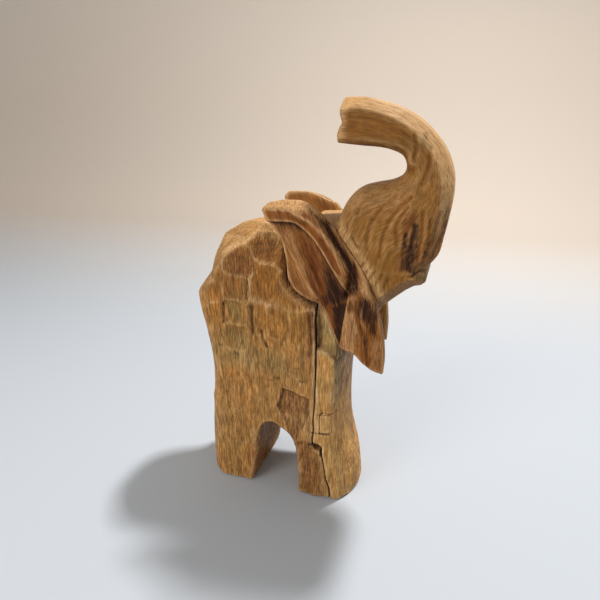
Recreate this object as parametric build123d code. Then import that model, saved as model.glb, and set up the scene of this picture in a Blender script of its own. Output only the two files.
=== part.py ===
from build123d import *
import os

# A carved wooden elephant, trunk raised and curled back over the head.
# +X runs towards the head, +Y to the elephant's left, +Z up. The origin is under the
# middle of the overall length and width, on the plane of the soles. Millimetres.

# ---------------------------------------------------------------- driving sizes
HEIGHT = 368.0            # soles to the top of the trunk
LENGTH = 228.0            # rump to the front of the trunk
WIDTH = 84.0              # outside of one ear to the outside of the other

RUMP_X = -LENGTH / 2
TRUNK_X = LENGTH / 2
BODY_HALF = 40.0          # half the width of the flanks
FOOT_HALF = 41.0          # half the width of the legs at the soles
BACK_Z = 273.0            # top of the back
BACK_HALF = 24.0          # half the width of the flat along the top of the back
RUMP_Z = 204.0            # height at which the rump stands out farthest
WAIST_Z = 116.0           # height at which the hind leg is narrowest
WAIST_X = RUMP_X + 8.5
BOW = 17.0                # how far the rump bows back between the flanks and the middle

HIND_FOOT_FRONT = -57.0   # X of the hind foot's front edge at the sole
FRONT_FOOT_BACK = -6.0    # X of the front foot's back edge at the sole
TOE_X = 50.0              # X of the front foot's toe
CHEST_X = TOE_X - 14.0    # X of the chest where the front leg is narrowest
THROAT_X = TOE_X + 4.0    # X of the chest under the throat
ARCH_Z = 79.0             # top of the arch between the legs

SEAM_TOP_X = 14.5         # the long seam between the two body blocks, under the ear
SEAM_LOW_X = 10.0         # the same seam above its step
SEAM_STEP_X = 18.0        # the seam steps forward to here
SEAM_STEP_Z = 63.0        # height of that step
SEAM_SOLE_X = 27.0        # and where it reaches the sole
NECK_X = 4.0              # X of the upright face behind the head block
NECK_HIGH_Z = 236.0       # where the sloping joint under the head starts, at the back
NECK_LOW_X = 58.0         # and where it comes out at the throat
NECK_LOW_Z = 190.0
NAPE_X = 28.0
NAPE_Z = 279.0

HEAD_HALF = 37.0          # half the width across the cheeks
EAR_SEAT = 31.0           # half the distance between the two flat ear seats
EAR_THICK = WIDTH / 2 - EAR_SEAT
EAR_TIP_Z = 149.0         # lowest point of an ear's front lobe
LOBE_STEP = 5.0           # how far the front lobe is set in from the ear's outer face
PANEL_SINK = 4.0          # depth of the ears' sunk panels
LEFT_EAR_SHIFT = -8.0     # the left ear sits this much farther back

TRUNK_FRONT_Z = 298.0     # height at which the trunk stands out farthest
TRUNK_HALF = 21.0         # half the width of the trunk at its tip
TRUNK_BEVEL = 6.0         # width of the flat along the trunk's outer edges
BEVEL_PLACES = (0.15, 0.35, 0.55, 0.75, 0.95)
TIP_X = 25.0              # X of the trunk's cut end
TRUNK_UNDER_Z = 334.0     # underside of the trunk's level part
MOUTH_Z = 242.0
LIP_X = 103.0
JAW_Z = 227.0

DOWEL = 8.0               # diameter of every hidden dowel
DOWEL_LENGTH = 40.0
EAR_DOWEL_LENGTH = 14.0
EAR_DOWEL_INSET = 3.0     # from an ear's seat inwards to the middle of its dowels
PLAY = 0.1                # room round a dowel in its hole
BLOCK_DOWEL_HEIGHTS = (110.0, 150.0, 190.0)
EAR_DOWEL_PLACES = ((18.0, 252.0), (32.0, 232.0))
NECK_DOWEL_X = 38.0       # middle of the two sloping neck dowels
NECK_DOWEL_Z = 207.0
NECK_DOWEL_SPREAD = 12.0  # of those two, to each side of the middle
NAPE_DOWEL_Z = 256.0      # the level dowel at the back of the neck

PATCH_WIDTH = 14.0
PATCH_HEIGHT = 19.0
PATCH_DEPTH = 4.0
PATCH_X = 24.0
PATCH_Z = 88.5

# ---------------------------------------------------------------- small helpers
BIG = 400.0               # longer than the whole carving
CUT = 90.0                # size of the block that one flat knife cut takes away


def across(face_points, half_width=BIG / 2):
    """A prism with its outline in X and Z, running across the carving."""
    outline = Plane.XZ * make_face(Polyline(*face_points, close=True))
    return extrude(outline, half_width, both=True)


def along(face_points):
    """A prism with its outline in Y and Z, running from rump to trunk."""
    mirrored = [(-y, z) for y, z in reversed(face_points)]
    outline = Plane.YZ * make_face(Polyline(*face_points, *mirrored, close=True))
    return extrude(outline, BIG / 2, both=True)


def upright(face_points):
    """A prism with its outline in X and Y, running up through the carving."""
    mirrored = [(x, -y) for x, y in reversed(face_points) if y > 0]
    outline = make_face(Polyline(*face_points, *mirrored, close=True))
    return extrude(outline, BIG)


def dowel(centre, direction, length, diameter=DOWEL):
    """A round rod of the given length, centred on a point."""
    plane = Plane(origin=centre, z_dir=direction)
    return plane * Cylinder(diameter / 2, length)


# ---------------------------------------------------------------- body blank
def side_outline():
    """Outline of the body from the side, from the sole of the hind foot round over the back."""
    return [
        (RUMP_X, 0),
        (RUMP_X + 1, 42),
        (WAIST_X - 4, 81),
        (WAIST_X, WAIST_Z),
        (WAIST_X, 141),
        (RUMP_X + 1.5, 181),
        (RUMP_X, RUMP_Z - 12),
        (RUMP_X, RUMP_Z),
        (RUMP_X + 15.5, 224),
        (RUMP_X + 21, 242),
        (RUMP_X + 25.5, 256),
        (RUMP_X + 47, 268),
        (RUMP_X + 62, BACK_Z - 1),
        (-30, BACK_Z),
        (10, BACK_Z + 3),
        (SEAM_TOP_X + 11, NAPE_Z - 8),
        (THROAT_X, 225),
        (THROAT_X, NECK_LOW_Z),
        (CHEST_X + 4.5, 156),
        (CHEST_X + 1, 135),
        (CHEST_X, 112),
        (CHEST_X, 85),
        (CHEST_X + 2.5, 62),
        (TOE_X - 4, 35),
        (TOE_X - 1, 14),
        (TOE_X, 0),
    ]


def end_outline():
    """Half the outline of the body from behind: the legs, the flank and the rounded back."""
    return [
        (FOOT_HALF, 0),
        (FOOT_HALF, 60),
        (BODY_HALF, 130),
        (BODY_HALF, 200),
        (BODY_HALF - 3, 232),
        (BODY_HALF - 8, 252),
        (BACK_HALF, 266),
        (9, BACK_Z + 3),
    ]


def plan_outline():
    """Half the outline of the body from above: bowed at the rump and at the chest."""
    return [
        (RUMP_X, 0),
        (RUMP_X + 1, 12),
        (RUMP_X + 5.5, 25),
        (RUMP_X + 11, 33),
        (RUMP_X + BOW, FOOT_HALF),
        (TOE_X - 8, FOOT_HALF),
        (TOE_X - 3, 25),
        (THROAT_X - 3, 14),
        (THROAT_X, 0),
    ]


def arch():
    """The opening between the legs, wider at the soles than at its crown."""
    back = (-45, ARCH_Z - 17)
    front = (FRONT_FOOT_BACK, ARCH_Z - 25)
    crown = ThreePointArc(back, (-31, ARCH_Z), front)
    sides = Polyline(
        front,
        (FRONT_FOOT_BACK, -1),
        (HIND_FOOT_FRONT, -1),
        (HIND_FOOT_FRONT + 7, 35),
        back,
    )
    return extrude(Plane.XZ * make_face(Curve() + [crown, sides]), BIG / 2, both=True)


def seam_line():
    """The long joint from the neck to the sole, with its step round the notch."""
    return [
        (SEAM_TOP_X, BIG),
        (SEAM_TOP_X, 175),
        (SEAM_LOW_X + 2, 110),
        (SEAM_LOW_X, SEAM_STEP_Z + 7),
        (SEAM_LOW_X + 1, SEAM_STEP_Z),
        (SEAM_STEP_X, SEAM_STEP_Z),
        (SEAM_STEP_X + 4, 34),
        (SEAM_SOLE_X, -1),
    ]


def neck_line():
    """The joint under the head block: up the neck's back, then down towards the throat."""
    fall = (NECK_HIGH_Z - NECK_LOW_Z) / (NECK_LOW_X - NECK_X)
    return [
        (NECK_X, BIG),
        (NECK_X, NECK_HIGH_Z),
        (BIG, NECK_HIGH_Z - fall * (BIG - NECK_X)),
    ]


def seam_zone():
    """Everything behind the long seam."""
    return across([*seam_line(), (-BIG, -1), (-BIG, BIG)])


def head_zone():
    """Everything above and in front of the neck joint."""
    return across([*neck_line(), (BIG, BIG)])


def body_blank():
    """Both body blocks as one shape, before they are parted along their joints."""
    blank = across(side_outline()) & along(end_outline()) & upright(plan_outline())
    return blank - arch()


# ---------------------------------------------------------------- head and trunk
def trunk_front():
    """The long outer curve from the mouth up over the trunk to its cut end."""
    rise = Spline(
        (LIP_X - 4, MOUTH_Z),
        (TRUNK_X - 4, 263),
        (TRUNK_X, TRUNK_FRONT_Z),
        tangents=[(0.6, 1), (0, 1)],
    )
    curl = Spline(
        (TRUNK_X, TRUNK_FRONT_Z),
        (TRUNK_X - 7.5, 329),
        (TRUNK_X - 33, 355),
        (TRUNK_X - 57, 365),
        (TIP_X + 4, HEIGHT),
        tangents=[(0, 1), (-1, 0)],
    )
    return [rise, curl]


def trunk_tip():
    """The cut end, with the small notch across it."""
    return Polyline(
        (TIP_X + 4, HEIGHT),
        (TIP_X + 2, HEIGHT - 2),
        (TIP_X + 2, 356),
        (TIP_X + 4, 350),
        (TIP_X, 342),
        (TIP_X + 1, TRUNK_UNDER_Z + 1.5),
    )


def trunk_crook():
    """The underside of the trunk, round its crook and over the crown to the nape."""
    return Spline(
        (TIP_X + 1, TRUNK_UNDER_Z + 1.5),
        (56, TRUNK_UNDER_Z - 1.5),
        (79, 319),
        (62, 306),
        (44, 301.5),
        (NAPE_X, NAPE_Z),
    )


def throat():
    """From the nape down into the neck joint, forward under the jaw and up to the mouth."""
    return Polyline(
        (NAPE_X, NAPE_Z),
        (NECK_X, NAPE_Z - 4),
        (NECK_X, 150),
        (NECK_LOW_X, 150),
        (NECK_LOW_X + 2, NECK_LOW_Z + 2),
        (67, 204),
        (86, 220),
        (93, JAW_Z - 1),
        (98, JAW_Z),
        (LIP_X, JAW_Z + 4),
        (LIP_X, MOUTH_Z - 4),
        (LIP_X - 4, MOUTH_Z),
    )


def head_width():
    """Half the outline of the head from the front: full at the cheeks, narrow at the tip."""
    return [
        (HEAD_HALF - 6, 140),
        (HEAD_HALF - 6, 205),
        (HEAD_HALF - 3, 225),
        (HEAD_HALF, 240),
        (HEAD_HALF, 262),
        (HEAD_HALF - 4.5, 290),
        (TRUNK_HALF + 5, 312),
        (TRUNK_HALF + 2.5, TRUNK_UNDER_Z),
        (TRUNK_HALF, HEIGHT + 5),
    ]


def half_width_at(z):
    """Half the width of the head block at a height."""
    outline = head_width()
    for (low_y, low_z), (high_y, high_z) in zip(outline, outline[1:]):
        if low_z <= z <= high_z:
            return low_y + (high_y - low_y) * (z - low_z) / (high_z - low_z)
    return outline[-1][0]


def trunk_bevels():
    """Flat knife cuts that take both edges off the outer curve of the trunk."""
    cuts = []
    for curve in trunk_front():
        for place in BEVEL_PLACES:
            point = curve.position_at(place)
            run = curve.tangent_at(place)
            outward = Vector(run.Y, 0, -run.X)
            root = Vector(point.X, 0, point.Y) - outward * TRUNK_BEVEL
            for side in (-1, 1):
                corner = root + Vector(0, side * half_width_at(root.Z), 0)
                face = Plane(origin=corner, z_dir=outward + Vector(0, side, 0))
                cuts.append(face * Pos(0, 0, CUT / 2) * Box(CUT, CUT, CUT))
    return cuts


def head_blank():
    """Head, jaw and trunk, cut off at the neck joint."""
    outline = make_face(Curve() + [*trunk_front(), trunk_tip(), trunk_crook(), throat()])
    blank = extrude(Plane.XZ * outline, BIG / 2, both=True) & along(head_width())
    return (blank - trunk_bevels()) & head_zone()


# ---------------------------------------------------------------- ears
def ear_back():
    """The ear's top and rear edge, from its root round to the tip of the rear flap."""
    return [
        (20, 282),
        (10, 290),
        (0, 293.5),
        (-12, 294),
        (-27, 291),
        (-31.5, 286),
        (-20, 267),
        (-12, 249),
        (-10, 228),
        (0, 215.5),
        (16, 209.5),
        (25, 192),
        (33, 172),
    ]


def ear_front():
    """The front lobe, down to its tip and back up to the root along the cheek."""
    return [
        (49, 166),
        (58, 157),
        (72.5, EAR_TIP_Z),
        (73, 172),
        (67, 205),
        (57, 229),
        (45, 249.5),
        (29, 271),
    ]


def rim_line():
    """The inner edge of the ear's raised rim, from the rear edge to the fold of the lobe."""
    return [
        (-34, 276),
        (-4, 276),
        (12, 264),
        (25, 244.5),
        (41.5, 217),
    ]


def panel_outline():
    """The sunk panel behind the ear's raised rim."""
    return [*rim_line(), (33, 172), (33, 140), (-34, 140)]


def lobe_outline():
    """The front lobe's face, set in from the rim."""
    return [(33, 172), rim_line()[-1], (BIG, 217), (BIG, 100), (33, 100)]


def ear(side):
    """One ear, a slab on its seat; side is -1 for the right ear and 1 for the left."""
    shift = 0 if side < 0 else LEFT_EAR_SHIFT
    slab = across([*ear_back(), *ear_front()], WIDTH / 2)
    slab -= across(panel_outline()) - across(panel_outline(), WIDTH / 2 - PANEL_SINK)
    slab -= across(lobe_outline()) - across(lobe_outline(), WIDTH / 2 - LOBE_STEP)
    slab &= Pos(0, side * (EAR_SEAT + EAR_THICK / 2), BIG / 2) * Box(BIG, EAR_THICK, BIG)
    return Pos(shift, 0, 0) * slab


def ear_seat(side):
    """The room that an ear takes out of the blocks behind it."""
    shift = 0 if side < 0 else LEFT_EAR_SHIFT
    room = across([*ear_back(), *ear_front()])
    room &= Pos(0, side * (EAR_SEAT + BIG / 2), BIG / 2) * Box(BIG, BIG, BIG)
    return Pos(shift, 0, 0) * room


# ---------------------------------------------------------------- dowels and patch
def block_dowels(diameter, length):
    """Three level dowels across the long seam."""
    return [dowel((SEAM_TOP_X, 0, z), (1, 0, 0), length, diameter) for z in BLOCK_DOWEL_HEIGHTS]


def neck_dowels(diameter, length):
    """Two sloping dowels from the chest into the head and one through the back of the neck."""
    square_to_neck = (NECK_HIGH_Z - NECK_LOW_Z, 0, NECK_LOW_X - NECK_X)
    dowels = [dowel((NECK_X, 0, NAPE_DOWEL_Z), (1, 0, 0), length, diameter)]
    for side in (-1, 1):
        centre = (NECK_DOWEL_X, side * NECK_DOWEL_SPREAD, NECK_DOWEL_Z)
        dowels.append(dowel(centre, square_to_neck, length, diameter))
    return dowels


def ear_dowels(diameter, length):
    """Two dowels behind each ear, square to its seat."""
    dowels = []
    for side in (-1, 1):
        shift = 0 if side < 0 else LEFT_EAR_SHIFT
        for x, z in EAR_DOWEL_PLACES:
            centre = (x + shift, side * (EAR_SEAT - EAR_DOWEL_INSET), z)
            dowels.append(dowel(centre, (0, 1, 0), length, diameter))
    return dowels


def patch_block(play=0):
    """The let-in patch on the right side of the front leg, as a plain block."""
    centre = (PATCH_X, -(FOOT_HALF + BODY_HALF) / 2, PATCH_Z)
    return Pos(*centre) * Box(PATCH_WIDTH + play, 2 * PATCH_DEPTH, PATCH_HEIGHT + play)


# ---------------------------------------------------------------- assembly
def save(shape, name):
    """Write one node, from one solid or a list of separate ones."""
    solids = shape if isinstance(shape, list) else shape.solids()
    if len(solids) > 1 and not isinstance(shape, list):
        raise ValueError(f"{name} came out in {len(solids)} pieces")
    node = Compound(children=solids) if len(solids) > 1 else solids[0]
    export_step(node, f"parts/{name}.step")


os.makedirs("parts", exist_ok=True)

bores = block_dowels(DOWEL + PLAY, DOWEL_LENGTH + PLAY)
bores += neck_dowels(DOWEL + PLAY, DOWEL_LENGTH + PLAY)
bores += ear_dowels(DOWEL + PLAY, EAR_DOWEL_LENGTH + PLAY)

body = body_blank() - head_zone()
for side in (-1, 1):
    body -= ear_seat(side)
patch = patch_block() & body
body_bored = body - bores
hind = body_bored & seam_zone()
chest = body_bored - seam_zone() - patch_block(PLAY)

head = head_blank()
for side in (-1, 1):
    head -= ear_seat(side)
head -= bores

save(hind, "hind_block")
save(chest, "chest_block")
save(head, "head_block")
save(ear(-1) - bores, "right_ear")
save(ear(1) - bores, "left_ear")
save(patch, "leg_patch")
save(block_dowels(DOWEL, DOWEL_LENGTH), "block_dowels")
save(neck_dowels(DOWEL, DOWEL_LENGTH), "neck_dowels")
save(ear_dowels(DOWEL, EAR_DOWEL_LENGTH), "ear_dowels")
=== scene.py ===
import bpy
import bmesh
import numpy as np
from math import cos, radians, sin
from mathutils import Matrix, Vector


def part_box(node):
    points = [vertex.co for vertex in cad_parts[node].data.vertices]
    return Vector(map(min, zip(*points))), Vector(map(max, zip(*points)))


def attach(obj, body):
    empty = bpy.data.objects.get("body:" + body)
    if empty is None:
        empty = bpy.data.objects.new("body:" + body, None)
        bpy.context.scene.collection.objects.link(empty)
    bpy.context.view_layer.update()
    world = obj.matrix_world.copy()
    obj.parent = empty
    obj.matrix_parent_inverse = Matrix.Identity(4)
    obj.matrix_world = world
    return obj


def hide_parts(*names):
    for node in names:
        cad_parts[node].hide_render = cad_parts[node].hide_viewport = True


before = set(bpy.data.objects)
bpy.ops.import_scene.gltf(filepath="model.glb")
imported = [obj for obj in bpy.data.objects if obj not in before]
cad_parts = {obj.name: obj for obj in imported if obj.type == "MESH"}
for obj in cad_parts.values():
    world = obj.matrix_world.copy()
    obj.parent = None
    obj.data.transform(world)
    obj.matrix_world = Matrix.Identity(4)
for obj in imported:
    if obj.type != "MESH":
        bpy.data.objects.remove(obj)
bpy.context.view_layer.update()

# A carved wooden elephant. Every piece is cut out of a block of voxels that holds the
# distance to the wood's surface, in millimetres, negative inside. Outlines are drawn
# from the side (x, z), and the marks of gouge and knife are heights taken off a face. The
# blocks' sizes come from the frame, and the places of marks are measured, in millimetres.

MM = 0.001
STEP = 1.0       # size of a voxel
FAR = 400.0                             # farther than any part of the carving
RIGHT, LEFT = -1, 1                     # the sides of the elephant, as signs of y
DISH_POWER = 3.1                        # 2 makes a gouge hollow a bowl, more makes it flatter
PATCH_DEPTH = 5.0                       # of the pocket that the leg patch sits in
PATCH_GAP = 0.2                         # round the patch
JOINT_GAP = 0.1                         # left on each side of a joint between pieces
FACET = np.sqrt(0.5)                    # scales the sum of two distances to a cut at 45 degrees


# ---------------------------------------------------------------- places from the frame
def node_box(name):
    """A CAD node's lowest and highest corners, in millimetres."""
    low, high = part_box(name)
    return np.array(low) / MM, np.array(high) / MM


HIND_LOW, HIND_HIGH = node_box("hind_block")
_, CHEST_HIGH = node_box("chest_block")
HEAD_LOW, HEAD_HIGH = node_box("head_block")
EAR_LOW, EAR_HIGH = node_box("right_ear")
LEFT_EAR_LOW, _ = node_box("left_ear")
PATCH_LOW, PATCH_HIGH = node_box("leg_patch")

RUMP = HIND_LOW[0]                      # x of the rump
THROAT = CHEST_HIGH[0]                  # x of the chest under the throat
TOE = THROAT - 4                        # x of the front foot's toe
FOOT = HIND_HIGH[1]                     # half the width of the feet
FLANK = FOOT - 1                        # half the width of the body
TRUNK = HEAD_HIGH[0]                    # x of the front of the trunk
TOP = HEAD_HIGH[2]                      # top of the trunk
CHEEK = HEAD_HIGH[1]                    # half the width of the head
EAR_FACE = -EAR_LOW[1]                  # outer face of an ear
EAR_SEAT = -EAR_HIGH[1]                 # the flat an ear sits on
EAR_TIP = EAR_LOW[2]                    # lowest point of an ear
EAR_TOP = EAR_HIGH[2]
EAR_FOLD = 215                          # height where the flap gives way to the front lobe
LEFT_SHIFT = LEFT_EAR_LOW[0] - EAR_LOW[0]


# ---------------------------------------------------------------- drawing with numbers
def smooth(*points, count=8):
    """A curve through the points, as a list of points."""
    pts = np.array(points, float)
    ends = np.vstack([2 * pts[0] - pts[1], pts, 2 * pts[-1] - pts[-2]])
    curve = []
    for a, b, c, d in zip(ends, ends[1:], ends[2:], ends[3:]):
        for t in np.arange(count) / count:
            bend = (2 * a - 5 * b + 4 * c - d) * t * t + (3 * b - a - 3 * c + d) * t ** 3
            curve.append(b + 0.5 * ((c - a) * t + bend))
    return [tuple(p) for p in curve] + [tuple(pts[-1])]


def from_outline(outline, u, v):
    """Signed distance to a closed outline, negative inside."""
    nearest = np.float32(FAR ** 2)
    inside = np.zeros(np.broadcast(u, v).shape, bool)
    for (u0, v0), (u1, v1) in zip(outline, [*outline[1:], outline[0]]):
        du, dv = u1 - u0, v1 - v0
        if not (du or dv):
            continue
        along = np.clip(((u - u0) * du + (v - v0) * dv) / (du * du + dv * dv), 0, 1)
        nearest = np.minimum(nearest, (u - u0 - along * du) ** 2 + (v - v0 - along * dv) ** 2)
        if dv:
            inside ^= ((v0 > v) != (v1 > v)) & (u < u0 + (v - v0) * du / dv)
    return np.where(inside, -1, 1) * np.sqrt(nearest)


def from_line(line, u, v):
    """Distance to an open line, and how far along it the nearest place is, 0 to 1."""
    nearest = np.full(np.broadcast(u, v).shape, FAR ** 2)
    place = np.zeros_like(nearest)
    count = len(line) - 1
    for i, ((u0, v0), (u1, v1)) in enumerate(zip(line, line[1:])):
        du, dv = u1 - u0, v1 - v0
        along = np.clip(((u - u0) * du + (v - v0) * dv) / (du * du + dv * dv + 1e-9), 0, 1)
        away = (u - u0 - along * du) ** 2 + (v - v0 - along * dv) ** 2
        place = np.where(away < nearest, (i + along) / count, place)
        nearest = np.minimum(nearest, away)
    return np.sqrt(nearest), place


def fade(value, start, end):
    """0 at start, 1 at end, and smooth between."""
    t = np.clip((value - start) / (end - start), 0, 1)
    return t * t * (3 - 2 * t)


def swell(value, start, rise, fall, end):
    """0 up to start, 1 from rise to fall, 0 again from end, and smooth between."""
    return fade(value, start, rise) * fade(value, end, fall)


def near(distance, width):
    """1 at no distance, falling off softly over a width."""
    return np.exp(-(distance / width) ** 2)


def blunt(a, b, width):
    """The overlap of two shapes, with the edge between them rounded over a width."""
    width = np.maximum(width, 1e-3)
    near = np.maximum(width - np.abs(a - b), 0) / width
    return np.maximum(a, b) + near * near * width / 4


def bevelled(a, b, leg):
    """The overlap of two shapes, with a flat cut across the edge between them."""
    return np.maximum(np.maximum(a, b), (a + b + leg) * FACET)


def stroke(line, width, u, v):
    """A soft line: 1 on the line, falling off over a width."""
    away, _ = from_line(line, u, v)
    return near(away, width)


def dish(u, v, centre, half_u, half_v, depth, lean=0.0):
    """The hollow that one push of a gouge leaves, as a depth."""
    du, dv = u - centre[0], v - centre[1]
    turned_u = du * cos(lean) + dv * sin(lean)
    turned_v = dv * cos(lean) - du * sin(lean)
    shape = np.abs(turned_u / half_u) ** DISH_POWER + np.abs(turned_v / half_v) ** DISH_POWER
    return depth * np.maximum(1 - shape, 0)


def grain_noise(u, v, size_u, size_v, seed):
    """Smooth noise between -1 and 1 with the given grain size."""
    lattice = np.random.default_rng(seed).uniform(-1, 1, (64, 64))
    u, v = u / size_u + 1000, v / size_v + 1000
    iu, iv = np.floor(u).astype(int), np.floor(v).astype(int)
    fu, fv = fade(u - iu, 0, 1), fade(v - iv, 0, 1)
    low = lattice[iu % 64, iv % 64] * (1 - fu) + lattice[(iu + 1) % 64, iv % 64] * fu
    high = lattice[iu % 64, (iv + 1) % 64] * (1 - fu) + lattice[(iu + 1) % 64, (iv + 1) % 64] * fu
    return low * (1 - fv) + high * fv


# ---------------------------------------------------------------- blocks of voxels
def block(low, high, margin=4.0):
    """Three axes of voxel places round a box, shaped so that they broadcast."""
    axes = [np.arange(a - margin, b + margin + STEP, STEP) for a, b in zip(low, high)]
    return axes[0][:, None, None], axes[1][None, :, None], axes[2][None, None, :]


def surface(field, x, y, z):
    """The mesh where a field crosses zero, as corners and four-sided faces."""
    inside = field < 0
    shape = np.array(field.shape) - 1
    corners = [(i, j, k) for i in (0, 1) for j in (0, 1) for k in (0, 1)]

    def window(values, corner):
        return values[tuple(slice(c, c + n) for c, n in zip(corner, shape))]

    count = sum(window(inside, c).astype(np.int8) for c in corners)
    cells = np.argwhere((count > 0) & (count < 8))
    values = {c: field[tuple((cells + c).T)] for c in corners}
    total = np.zeros((len(cells), 3))
    crossings = np.zeros(len(cells))
    for c in corners:
        for axis in range(3):
            if c[axis]:
                continue
            d = tuple(n + (i == axis) for i, n in enumerate(c))
            crossed = (values[c] < 0) != (values[d] < 0)
            share = np.where(crossed, values[c] / (values[c] - values[d] + ~crossed), 0)
            spot = np.tile(np.array(c, float), (len(cells), 1))
            spot[:, axis] += share
            total += spot * crossed[:, None]
            crossings += crossed
    start = np.array([x.min(), y.min(), z.min()])
    points = start + (cells + total / crossings[:, None]) * STEP

    number = np.full(shape, -1)
    number[tuple(cells.T)] = np.arange(len(cells))
    faces = []
    for axis in range(3):
        one, two = (axis + 1) % 3, (axis + 2) % 3
        here = [slice(1, n) for n in shape]
        here[axis] = slice(0, shape[axis])
        there = list(here)
        there[axis] = slice(1, shape[axis] + 1)
        first, second = inside[tuple(here)], inside[tuple(there)]
        for leaving in (True, False):
            edges = np.argwhere(first & ~second if leaving else ~first & second)
            base = edges + [s.start for s in here]
            around = []
            for step_one, step_two in ((1, 1), (0, 1), (0, 0), (1, 0)):
                cell = base.copy()
                cell[:, one] -= step_one
                cell[:, two] -= step_two
                around.append(number[tuple(cell.T)])
            faces.append(np.stack(around if leaving else around[::-1], axis=1))
    return points, np.vstack(faces)


def make_piece(name, field, axes, node):
    """Turn a field into a smooth-shaded piece that stands for a CAD node."""
    points, faces = surface(field, *axes)
    mesh = bpy.data.meshes.new(name)
    mesh.vertices.add(len(points))
    mesh.vertices.foreach_set("co", (points * MM).ravel())
    mesh.loops.add(faces.size)
    mesh.loops.foreach_set("vertex_index", faces.ravel())
    mesh.polygons.add(len(faces))
    mesh.polygons.foreach_set("loop_start", np.arange(0, faces.size, 4))
    mesh.polygons.foreach_set("use_smooth", np.ones(len(faces), bool))
    mesh.update(calc_edges=True)
    mesh.validate()
    piece = bpy.data.objects.new(name, mesh)
    bpy.context.collection.objects.link(piece)
    drop_crumbs(mesh)
    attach(piece, "root")
    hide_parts(node)
    return piece


def drop_crumbs(mesh):
    """Delete every loose bit but the largest."""
    bm = bmesh.new()
    bm.from_mesh(mesh)
    bm.verts.ensure_lookup_table()
    seen = np.full(len(bm.verts), -1)
    bits = []
    for vert in bm.verts:
        if seen[vert.index] >= 0:
            continue
        stack = [vert]
        seen[vert.index] = len(bits)
        size = 0
        while stack:
            size += 1
            for edge in stack.pop().link_edges:
                for other in edge.verts:
                    if seen[other.index] < 0:
                        seen[other.index] = len(bits)
                        stack.append(other)
        bits.append(size)
    if len(bits) > 1:
        keep = int(np.argmax(bits))
        loose = [v for v in bm.verts if seen[v.index] != keep]
        bmesh.ops.delete(bm, geom=loose, context="VERTS")
        bm.to_mesh(mesh)
    bm.free()


def corners_of(piece):
    """A piece's corners, in millimetres, as x, y and z."""
    flat = np.empty(len(piece.data.vertices) * 3)
    piece.data.vertices.foreach_get("co", flat)
    return (flat.reshape(-1, 3) / MM).T


def paint(piece, name, values):
    """Store a number on every corner, for the material to read."""
    layer = piece.data.attributes.new(name, "FLOAT", "POINT")
    layer.data.foreach_set("value", np.ascontiguousarray(values, dtype=np.float32))


def paint_vector(piece, name, values):
    """Store three numbers on every corner, for the material to read."""
    layer = piece.data.attributes.new(name, "FLOAT_VECTOR", "POINT")
    layer.data.foreach_set("vector", np.stack(values, axis=1).astype(np.float32).ravel())


def wear_of(piece, rounds=4):
    """How far each corner stands out from the wood around it, and how far it faces up."""
    mesh = piece.data
    count = len(mesh.vertices)
    ends = np.empty(len(mesh.edges) * 2, int)
    mesh.edges.foreach_get("vertices", ends)
    a, b = ends.reshape(-1, 2).T
    links = np.bincount(a, minlength=count) + np.bincount(b, minlength=count)

    def averaged(values):
        return (np.bincount(a, values[b], count) + np.bincount(b, values[a], count)) / links

    places = np.stack(corners_of(piece), axis=1)
    soft = places
    for _ in range(rounds):
        soft = np.stack([averaged(values) for values in soft.T], axis=1)
    normals = np.empty(count * 3)
    mesh.vertices.foreach_get("normal", normals)
    normals = normals.reshape(-1, 3)
    height = ((places - soft) * normals).sum(axis=1)
    for _ in range(2):
        height = averaged(height)
    return height / STEP, normals[:, 2]


# ---------------------------------------------------------------- body: outlines
def rump_line():
    """The middle of the back: from the hind sole up the rump, closed far in front."""
    rise = smooth((RUMP, 0), (RUMP + 1, 42), (RUMP + 4.5, 81), (RUMP + 8.5, 116),
                  (RUMP + 8.5, 141), (RUMP + 5.5, 162), (RUMP + 1.5, 181), (RUMP, 192))
    back = [(RUMP, 204), (RUMP + 15.5, 224), (RUMP + 21, 242), (RUMP + 25.5, 256.5),
            (RUMP + 47, 268.5), (RUMP + 62, 272), (-20, 274), (FAR, 276)]
    return [(RUMP, -FAR), *rise, *back, (FAR, -FAR)]


def chest_line():
    """The middle of the front: from the toe up the chest to the throat, closed far behind."""
    rise = smooth((TOE, 0), (TOE - 1, 14), (TOE - 4, 35), (TOE - 11.5, 62), (TOE - 14, 85),
                  (TOE - 14, 112), (TOE - 13, 135), (TOE - 9.5, 156), (TOE + 4, 190), (TOE + 12, 230))
    return [(TOE, -FAR), *rise, (TOE + 12, FAR), (-FAR, FAR), (-FAR, -FAR)]


def arch_line():
    """The opening between the legs."""
    return [*smooth((-57, 0), (-50, 35), (-45, 62), (-40, 74), (-32, 78.5), (-22, 75), (-13, 68),
                    (-8, 56)), (-6, 30), (-6, 0), (-6, -FAR), (-57, -FAR)]


def arch_lean(y, z):
    """How far the opening's rear wall leans forward towards the left side of the hind leg."""
    return 12 * fade(y, -15, FLANK) * swell(z, 2, 16, 45, 78)


def seam_path():
    """The long joint between the two body blocks, from the back to the sole."""
    return [(15, FAR), (15, 212), (14, 190), (14.5, 175), (14, 150), (13, 126), (12.5, 110), (11, 92),
            (11.5, 82), (10, 70), (11, 63), (18, 63), (19.5, 52), (22, 34), (23, 26), (26, 14),
            (27, 0), (28, -FAR)]


def seam_side(x, z):
    """Signed distance to the seam: negative behind it, in the hind block."""
    return from_outline([*seam_path(), (-FAR, -FAR), (-FAR, FAR)], x, z)


def neck_side(x, z):
    """Signed distance to the joint under the head block: negative in the head block."""
    return from_outline([(4, FAR), (4, 236), (58, 190), (FAR, 60), (FAR, FAR)], x, z)


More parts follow.
